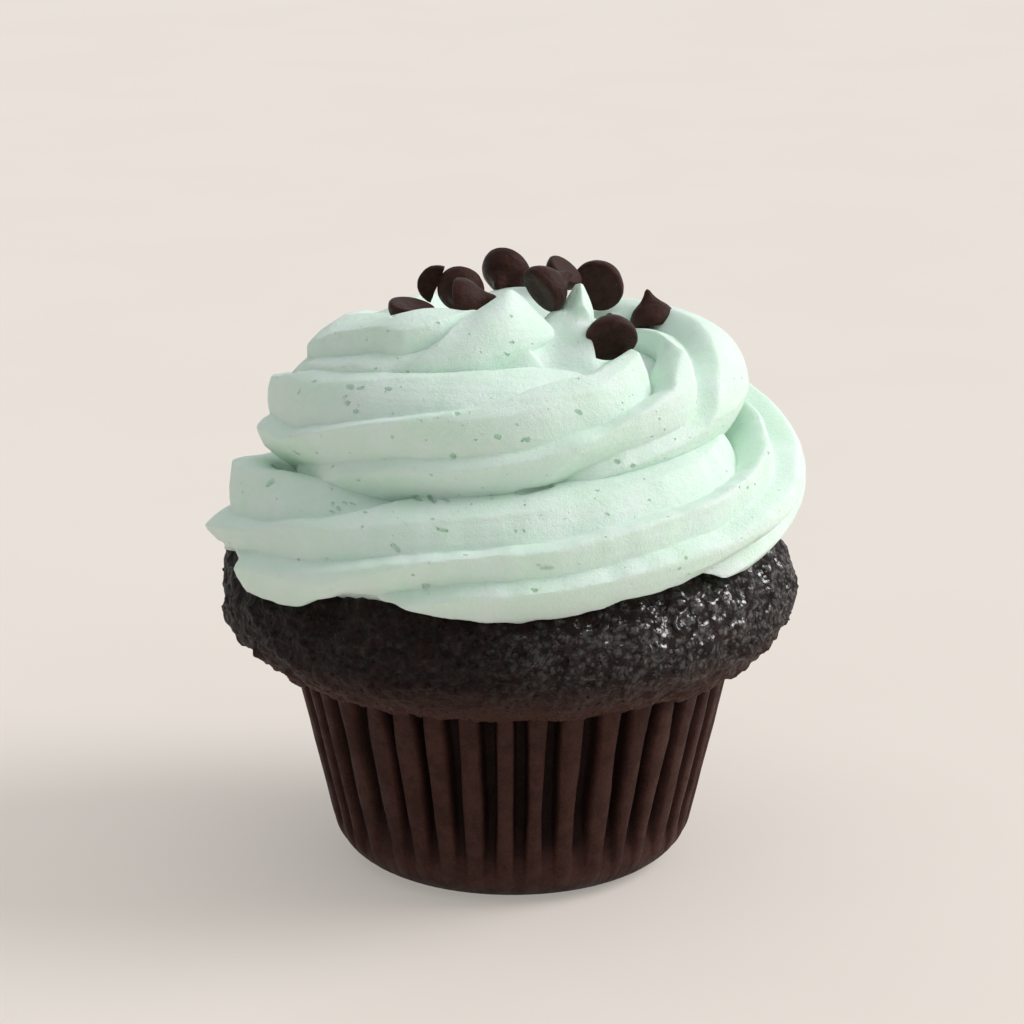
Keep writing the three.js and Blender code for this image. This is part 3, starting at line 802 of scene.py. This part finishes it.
def make_peak():
    """The end of the frosting, pulled up to a point, with three soft ridges."""
    table = np.column_stack([np.linspace(0, 1, len(PEAK)), PEAK])
    fine = np.linspace(0, 1, PEAK_STEPS)
    path = np.stack([along(table, column, fine) for column in (1, 2, 3)], -1)
    width = along(table, 4, fine)
    forward = np.gradient(path, axis=0)
    forward /= np.linalg.norm(forward, axis=1)[:, None]
    side = np.cross(PEAK_SIDEWAYS, forward)
    side /= np.linalg.norm(side, axis=1)[:, None]
    up = np.cross(forward, side)
    angle = np.linspace(0, 2 * math.pi, PEAK_SIDES, endpoint=False)
    size = 1 - PEAK_RIDGE * np.abs(np.sin(1.5 * (angle - PEAK_TURN)))
    across = (size * np.cos(angle))[None, :, None] * side[:, None]
    rising = (size * np.sin(angle))[None, :, None] * up[:, None]
    return tube("peak", path[:, None] + width[:, None, None] * (across + rising))


def view_ray(u, v):
    """Start and direction, in metres, of the line of sight through a place in the frame."""
    half, reach = FRAME_SIZE / 2, FRAME_SIZE * CAMERA_FOCAL
    x, y = (u - half) / reach, (half - v) / reach
    cos, sin = math.cos(CAMERA_PITCH), math.sin(CAMERA_PITCH)
    return Vector(CAMERA_PLACE) * MM, Vector((x, cos + y * sin, y * cos - sin)).normalized()


def bubble_rings(middle, out, length, width, slant):
    """A small lumpy hollow, lying on the surface at a slant from level."""
    level = Vector((0, 0, 1)).cross(out)
    level = level.normalized() if level.length > 1e-3 else Vector((1, 0, 0))
    up = out.cross(level)
    lean = math.radians(slant)
    long = level * math.cos(lean) + up * math.sin(lean)
    wide = out.cross(long)
    polar = np.linspace(0, math.pi, BUBBLE_ROWS + 2)[1:-1, None]
    turn = np.linspace(0, 2 * math.pi, BUBBLE_SIDES, endpoint=False)
    lumps = 1 + random.uniform(-0.2, 0.2, (BUBBLE_ROWS, BUBBLE_SIDES))
    spread = np.sin(polar) * lumps
    axes = [
        (np.cos(polar) * lumps * length / 2, long),
        (spread * np.cos(turn) * width / 2, wide),
        (spread * np.sin(turn) * width * 0.6, out),
    ]
    middle = np.array(middle) * PER_METRE
    return middle + sum(part[..., None] * np.array(way) for part, way in axes)


def make_bubbles(surface):
    """Every burst bubble as one cutting tool."""
    spots = []
    for u, v, length, width, slant in FRONT_BUBBLES:
        place, out, _, _ = surface.ray_cast(*view_ray(u, v))
        if place is not None:
            spots.append((place, out, length, width, slant))
    while len(spots) < ALL_BUBBLES:
        angle, height = random.uniform(0, 2 * math.pi), random.uniform(*BUBBLE_HEIGHTS)
        inward = Vector((-math.cos(angle), -math.sin(angle), 0))
        place, out, _, _ = surface.ray_cast(Vector((0, 0, height)) - inward * 0.08, inward)
        width = 0.22 + 0.75 * random.random() ** 4
        if place is not None and out.dot(inward) < -0.2:
            length = width * random.uniform(1, 2)
            spots.append((place, out, length, width, random.uniform(*BUBBLE_SLANTS)))
    points, faces = [], []
    for spot in spots:
        own_points, own_faces = closed_skin(bubble_rings(*spot), len(points))
        points.extend(own_points)
        faces.extend(own_faces)
    bubbles = new_piece("bubbles", points, faces)
    # Their rings run the other way than a tube's, which leaves the faces inside out.
    bubbles.data.flip_normals()
    return bubbles


def make_frosting():
    """One rope laid in a spiral over a mound, ending in a peak, with burst bubbles."""
    lengths = enumerate(zip(ROPE_BREAKS, ROPE_BREAKS[1:]))
    frosting, *tools = [rope_length(f"rope_{i}", start, stop) for i, (start, stop) in lengths]
    frosting.name = "piped_frosting"
    tools += [make_mound(), make_peak()]
    for tool in tools:
        combine(frosting, tool, "UNION")
    soften = frosting.modifiers.new("soften", "SMOOTH")
    soften.iterations = 2
    apply_modifiers(frosting)
    mesh = frosting.data
    points = read_vectors(mesh, "co") * PER_METRE
    lumps = uneven(points, *FROSTING_SWELLS, 61) + uneven(points, *FROSTING_DIMPLES, 62)
    points = points + read_vectors(mesh, "normal") * lumps[:, None]
    mesh.vertices.foreach_set("co", (points * MM).ravel())
    mesh.update()
    graph = bpy.context.evaluated_depsgraph_get()
    bubbles = make_bubbles(BVHTree.FromObject(frosting, graph))
    top_rows = even_curve(DOME_PROFILE[CORE_ROW:], CORE_STEP)[:-1]
    inside, _ = dome_rings(top_rows, CORE_SIDES, -CORE_INSET)
    core = tube("hidden_inside", np.concatenate([turned(CORE_RIM, CORE_SIDES), inside]))
    combine(frosting, bubbles, "DIFFERENCE")
    combine(frosting, core, "DIFFERENCE")
    apply_modifiers(frosting)
    for tool in [*tools, bubbles, core]:
        bpy.data.objects.remove(tool)
    frosting.data.set_sharp_from_angle(angle=math.radians(FROSTING_SHARP))
    return frosting


# ---- Chocolate chips ----


def make_chip(number, at, tip, size, curl, half, spin):
    """One chip: a flat, slightly lumpy base and a drawn-out tip."""
    profile = even_curve(CHIP_PROFILE, CHIP_STEP)
    profile[:, 0] = np.maximum(profile[:, 0], 0.02)
    rings = np.concatenate([turned(part * size, CHIP_SIDES) for part in (CHIP_BASE, profile)])
    own = rings + 40 * number
    lumps = uneven(own, *CHIP_LUMPS, 71) + uneven(own, *CHIP_DENTS, 72)
    reach = np.maximum(np.linalg.norm(rings[..., :2], axis=-1), 0.5)
    spread = rings[..., :2] / reach[..., None]
    rings[..., :2] += spread * lumps[..., None]
    rings[..., 2] += np.where(rings[..., 2] < 0.3, 0.5 * lumps, 0)
    rings[..., 0] += curl * (rings[..., 2] / CHIP_HEIGHT) ** 2
    if half:
        rings[..., 0] = np.minimum(rings[..., 0], uneven(rings, *CHIP_BREAK, 73))
    axis = Vector(tip).normalized()
    level = (Vector((1, 0, 0)) - axis * axis.x).normalized()
    across = axis.cross(level)
    cos, sin = math.cos(math.radians(spin)), math.sin(math.radians(spin))
    ways = (level * cos + across * sin, across * cos - level * sin, axis)
    placed = sum(rings[..., i, None] * np.array(way) for i, way in enumerate(ways))
    chip = tube(f"chocolate_chip_{number:02d}", placed + np.array(at))
    chip.data.set_sharp_from_angle(angle=math.radians(CHIP_SHARP))
    return chip


# ---- Shader nodes ----


def connect(tree, value, socket):
    """Puts a plain value, or what another node gives, into a socket."""
    if isinstance(value, bpy.types.NodeSocket):
        tree.links.new(value, socket)
    else:
        socket.default_value = value


def add(tree, kind, **values):
    """A node with values on its sockets; names use _ for a space."""
    made = tree.nodes.new(kind)
    for key, value in values.items():
        connect(tree, value, made.inputs[key.replace("_", " ")])
    return made


def maths(tree, operation, a, b=None):
    """One sum with one or two numbers."""
    made = tree.nodes.new("ShaderNodeMath")
    made.operation = operation
    connect(tree, a, made.inputs[0])
    if b is not None:
        connect(tree, b, made.inputs[1])
    return made.outputs[0]


def times(tree, a, b):
    """One number times another."""
    return maths(tree, "MULTIPLY", a, b)


def layered(tree, first, *layers):
    """A height with others laid over it, each as (height, share)."""
    for height, share in layers:
        first = maths(tree, "ADD", first, times(tree, height, share))
    return first


def ramp(tree, value, low, high, start=0.0, end=1.0, change="LINEAR"):
    """A number that goes from start to end while the value goes from low to high."""
    made = add(tree, "ShaderNodeMapRange", Value=value, From_Min=low, From_Max=high,
               To_Min=start, To_Max=end)
    made.interpolation_type = change
    return made.outputs[0]


def mix(tree, share, low, high):
    """A colour between two others."""
    made = tree.nodes.new("ShaderNodeMix")
    made.data_type = "RGBA"
    for name, value in (("Factor", share), ("A", low), ("B", high)):
        socket = next(s for s in made.inputs if s.name == name and s.enabled)
        connect(tree, (*value, 1) if isinstance(value, tuple) else value, socket)
    return next(s for s in made.outputs if s.enabled)


def object_place(tree):
    """The x, y and z of a point of the object, in metres."""
    split = tree.nodes.new("ShaderNodeSeparateXYZ")
    tree.links.new(tree.nodes.new("ShaderNodeTexCoord").outputs["Object"], split.inputs[0])
    return split.outputs


def millimetres(tree, size):
    """Where a point is, counted in steps of size millimetres."""
    scaled = tree.nodes.new("ShaderNodeVectorMath")
    scaled.operation = "SCALE"
    tree.links.new(tree.nodes.new("ShaderNodeTexCoord").outputs["Object"], scaled.inputs[0])
    tree.links.new(maths(tree, "DIVIDE", float(PER_METRE), size), scaled.inputs["Scale"])
    return scaled.outputs[0]


# ---- Shared effects ----


def new_group(name, inputs, outputs):
    """An empty shader node group with named number sockets."""
    group = bpy.data.node_groups.new(name, "ShaderNodeTree")
    for label, value in inputs.items():
        socket = group.interface.new_socket(label, in_out="INPUT", socket_type="NodeSocketFloat")
        socket.default_value = value
    for label in outputs:
        group.interface.new_socket(label, in_out="OUTPUT", socket_type="NodeSocketFloat")
    given, out = group.nodes.new("NodeGroupInput"), group.nodes.new("NodeGroupOutput")
    return group, given.outputs, out.inputs


def grain_group():
    """Fine grain: a height and a mask of lumps that are Size mm across."""
    group, given, out = new_group("grain", {"Size": 1.0, "Roughness": 0.5}, ["Height", "Patches"])
    place = millimetres(group, given["Size"])
    noise = add(group, "ShaderNodeTexNoise", Scale=1.0, Detail=4.0, Vector=place,
                Roughness=given["Roughness"])
    group.links.new(noise.outputs[0], out["Height"])
    group.links.new(ramp(group, noise.outputs[0], 0.42, 0.58), out["Patches"])
    return group


def pore_group():
    """Round pores Size mm apart, in a Share of the places, with a mask and a height."""
    group, given, out = new_group(
        "pores", {"Size": 1.0, "Width": 0.3, "Share": 0.4}, ["Mask", "Height"]
    )
    place = millimetres(group, given["Size"])
    cells = add(group, "ShaderNodeTexVoronoi", Scale=1.0, Vector=place, Randomness=1.0)
    chosen = group.nodes.new("ShaderNodeSeparateColor")
    group.links.new(cells.outputs["Color"], chosen.inputs[0])
    there = maths(group, "LESS_THAN", chosen.outputs[0], given["Share"])
    width = times(group, given["Width"], maths(group, "ADD", chosen.outputs[1], 0.4))
    near = ramp(group, cells.outputs["Distance"], 0.0, width, 1.0, 0.0, "SMOOTHSTEP")
    mask = times(group, near, there)
    group.links.new(mask, out["Mask"])
    group.links.new(maths(group, "SUBTRACT", 1.0, mask), out["Height"])
    return group


def use(tree, group, **values):
    """Places a shared group in a material with its own values."""
    made = tree.nodes.new("ShaderNodeGroup")
    made.node_tree = group
    for key, value in values.items():
        made.inputs[key].default_value = value
    return made.outputs


# ---- Finishes ----


def new_material(name, **constants):
    """A material whose shader has the same value all over on each named socket."""
    material = bpy.data.materials.new(name)
    material.use_nodes = True
    shader = material.node_tree.nodes["Principled BSDF"]
    for key, value in constants.items():
        shader.inputs[key.replace("_", " ")].default_value = value
    return material, material.node_tree, shader.inputs


def bump(tree, sockets, height, depth):
    """Relief from a height of 0 to 1 that stands for that depth in millimetres."""
    made = add(tree, "ShaderNodeBump", Strength=1.0, Distance=depth * MM, Height=height)
    tree.links.new(made.outputs[0], sockets["Normal"])


def uneven_gloss(tree, sockets, patches, outside, inside):
    """Roughness that is one value outside the patches and another inside them."""
    tree.links.new(ramp(tree, patches, 0.0, 1.0, outside, inside), sockets["Roughness"])


def frosting_finish(grain, pore):
    """Whipped buttercream: pale mint, slightly see-through, with painted shade, darker and greener,
    in its small pores.
    """
    mint, pale_mint, pore_shade_mint = (0.77, 0.965, 0.825), (0.81, 0.975, 0.87), (0.45, 0.78, 0.45)
    material, tree, sockets = new_material(
        "mint_buttercream", Roughness=0.55, Specular_IOR_Level=0.3, Subsurface_Weight=0.3,
        Subsurface_Radius=(0.0010, 0.0030, 0.0009), Subsurface_Scale=1.0,
    )
    tone = use(tree, grain, Size=7.0, Roughness=0.6)
    small = use(tree, pore, Size=1.5, Width=0.16, Share=0.3)
    fine = use(tree, grain, Size=0.8, Roughness=0.9)
    base = mix(tree, tone["Patches"], mint, pale_mint)
    # Painted shade: the small pores are coloured a darker, greener mint that stands in for the shade
    # inside them.
    base = mix(tree, times(tree, small["Mask"], 0.35), base, pore_shade_mint)
    tree.links.new(base, sockets["Base Color"])
    bump(tree, sockets, layered(tree, small["Height"], (fine["Height"], 0.7)), depth=0.42)
    return material


def cake_finish(grain, pore):
    """Dark crumb: dry and more reddish over the case's rim, moist and shiny towards +x, with painted
    shade in its small pores.
    """
    dark, brown = (0.008, 0.0031, 0.0022), (0.020, 0.0076, 0.0056)
    dry, hollow = (0.075, 0.024, 0.015), (0.002, 0.001, 0.0008)
    material, tree, sockets = new_material(
        "chocolate_crumb", Specular_IOR_Level=0.23, Roughness=0.5, Coat_Roughness=0.2, Coat_IOR=2.3,
    )
    tone = use(tree, grain, Size=2.6, Roughness=0.75)
    fine = use(tree, grain, Size=0.7, Roughness=0.85)
    small = use(tree, pore, Size=1.0, Width=0.34, Share=0.5)
    crumb = use(tree, pore, Size=0.95, Width=0.75, Share=1.0)
    wet = use(tree, grain, Size=0.8, Roughness=0.85)
    lumps = use(tree, grain, Size=2.2, Roughness=0.6)
    x, _, z = object_place(tree)
    dry_hem = ramp(tree, z, low=0.033, high=0.0395, start=1.0, end=0.0)
    open_top = ramp(tree, z, low=0.034, high=0.043)
    moist_side = ramp(tree, x, low=-0.006, high=0.027, start=0.1)
    base = mix(tree, tone["Patches"], dark, brown)
    base = mix(tree, dry_hem, base, dry)
    # Painted shade: the small pores are coloured near-black, standing in for the shadow inside them.
    base = mix(tree, small["Mask"], base, hollow)
    tree.links.new(base, sockets["Base Color"])
    glaze = times(tree, wet["Patches"], maths(tree, "POWER", crumb["Mask"], 0.45))
    glaze = times(tree, glaze, times(tree, open_top, moist_side))
    tree.links.new(glaze, sockets["Coat Weight"])
    height = layered(
        tree, fine["Height"], (crumb["Mask"], 0.5), (small["Height"], 0.8), (lumps["Height"], 2.0)
    )
    bump(tree, sockets, height, depth=0.95)
    return material


def paper_finish(grain):
    """Brown baking paper, with painted shade at the bottom of its folds."""
    dark, brown = (0.033, 0.0118, 0.0087), (0.050, 0.0182, 0.0136)
    fibre, shade = (0.075, 0.029, 0.022), (0.004, 0.002, 0.0015)
    material, tree, sockets = new_material("baking_paper", Specular_IOR_Level=0.13)
    tone = use(tree, grain, Size=3.5, Roughness=0.7)
    fine = use(tree, grain, Size=0.35, Roughness=0.7)
    base = mix(tree, tone["Patches"], dark, brown)
    base = mix(tree, times(tree, fine["Patches"], 0.3), base, fibre)
    x, y, z = object_place(tree)
    squares = [maths(tree, "POWER", side, 2.0) for side in (x, y)]
    radius = maths(tree, "SQRT", maths(tree, "ADD", *squares))
    wall = maths(tree, "ADD", times(tree, z, math.tan(WALL_LEAN)), WALL_AT_FLOOR * MM)
    inset = maths(tree, "SUBTRACT", wall, radius)
    # Painted shade: the deeper a point lies under the wall, the darker its colour, so part of the
    # darkness in the folds is colour and not cast shadow.
    painted_fold_shade = ramp(tree, inset, low=0.0007, high=0.002, end=0.75)
    base = mix(tree, painted_fold_shade, base, shade)
    tree.links.new(base, sockets["Base Color"])
    uneven_gloss(tree, sockets, tone["Patches"], 0.66, 0.52)
    bump(tree, sockets, fine["Height"], depth=0.2)
    return material


def chocolate_finish(grain, pore):
    """Dull dark chocolate with pale specks of dust."""
    dark, brown, dusty = (0.034, 0.0150, 0.0120), (0.050, 0.0215, 0.0165), (0.30, 0.20, 0.17)
    material, tree, sockets = new_material("dark_chocolate", Specular_IOR_Level=0.08)
    tone = use(tree, grain, Size=1.6, Roughness=0.6)
    fine = use(tree, grain, Size=0.5, Roughness=0.6)
    dust = use(tree, pore, Size=0.8, Width=0.13, Share=0.22)
    base = mix(tree, tone["Patches"], dark, brown)
    base = mix(tree, times(tree, dust["Mask"], 0.6), base, dusty)
    tree.links.new(base, sockets["Base Color"])
    uneven_gloss(tree, sockets, tone["Patches"], 0.34, 0.5)
    bump(tree, sockets, fine["Height"], depth=0.16)
    return material


def floor_finish(grain):
    """A pale floor that gives off some light of its own, which softens the shadow on it."""
    material, tree, sockets = new_material(
        "pale_floor", Roughness=0.9, Specular_IOR_Level=0.1,
        Emission_Color=(0.310, 0.288, 0.264, 1), Emission_Strength=1.0,
    )
    tone = use(tree, grain, Size=60.0, Roughness=0.5)
    base = mix(tree, tone["Patches"], (0.495, 0.458, 0.418), (0.505, 0.468, 0.428))
    tree.links.new(base, sockets["Base Color"])
    return material


# ---- Put together ----

grain = grain_group()
pore = pore_group()
chocolate = chocolate_finish(grain, pore)

pieces = [
    (make_case(), "paper_case", "paper", paper_finish(grain)),
    (make_cake(), "cake", "cake_crumb", cake_finish(grain, pore)),
    (make_frosting(), "frosting", "frosting", frosting_finish(grain, pore)),
]
for number, chip in enumerate(CHIPS, 1):
    pieces.append((make_chip(number, *chip), f"chip_{number:02d}", "chocolate", chocolate))
for piece, node, slot, finish in pieces:
    piece.data.materials.clear()
    piece.data.materials.append(finish)
    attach(piece, "root")
    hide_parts(node)

# ---- Studio ----

scene = bpy.context.scene
scene.view_settings.view_transform = "Standard"


def lay_floor(left, right, front, back):
    """A level floor between those distances from the middle."""
    corners = [(left, front, 0), (right, front, 0), (right, back, 0), (left, back, 0)]
    floor = new_piece("floor", corners, [(0, 1, 2, 3)])
    floor.data.materials.append(floor_finish(grain))


def light_room(toward, dim, bright):
    """A pale room that is bright in one direction and dim in the other."""
    world = bpy.data.worlds.new("studio")
    scene.world = world
    world.use_nodes = True
    tree = world.node_tree
    background = tree.nodes["Background"].inputs
    background["Color"].default_value = (0.97, 0.98, 1.0, 1)
    facing = tree.nodes.new("ShaderNodeVectorMath")
    facing.operation = "DOT_PRODUCT"
    tree.links.new(tree.nodes.new("ShaderNodeTexCoord").outputs["Generated"], facing.inputs[0])
    facing.inputs[1].default_value = Vector(toward).normalized()
    level = ramp(tree, facing.outputs["Value"], low=-0.7, high=0.9, start=dim, end=bright,
                 change="SMOOTHSTEP")
    tree.links.new(level, background["Strength"])


def add_window(place, softness, power, colour):
    """Broad soft light from a window in the direction of place."""
    light = bpy.data.lights.new("window", "SUN")
    light.angle = math.radians(softness)
    light.energy = power
    light.color = colour
    lamp = bpy.data.objects.new("window", light)
    scene.collection.objects.link(lamp)
    lamp.location = place
    lamp.rotation_euler = Vector(place).to_track_quat("Z", "Y").to_euler()


def add_camera():
    """The camera, looking level to the sides and down by its pitch."""
    lens = bpy.data.cameras.new("camera")
    lens.sensor_width = SENSOR_WIDTH
    lens.lens = SENSOR_WIDTH * CAMERA_FOCAL
    camera = bpy.data.objects.new("camera", lens)
    scene.collection.objects.link(camera)
    camera.location = Vector(CAMERA_PLACE) * MM
    camera.rotation_euler = (math.pi / 2 - CAMERA_PITCH, 0, 0)
    scene.camera = camera


lay_floor(left=-4000, right=4000, front=-2000, back=6000)
light_room(toward=(0.6, 0.25, 0.7), dim=0.25, bright=0.765)
add_window(place=(0.85, 0.05, 0.62), softness=34, power=2.0, colour=(1.0, 0.98, 0.96))
add_camera()
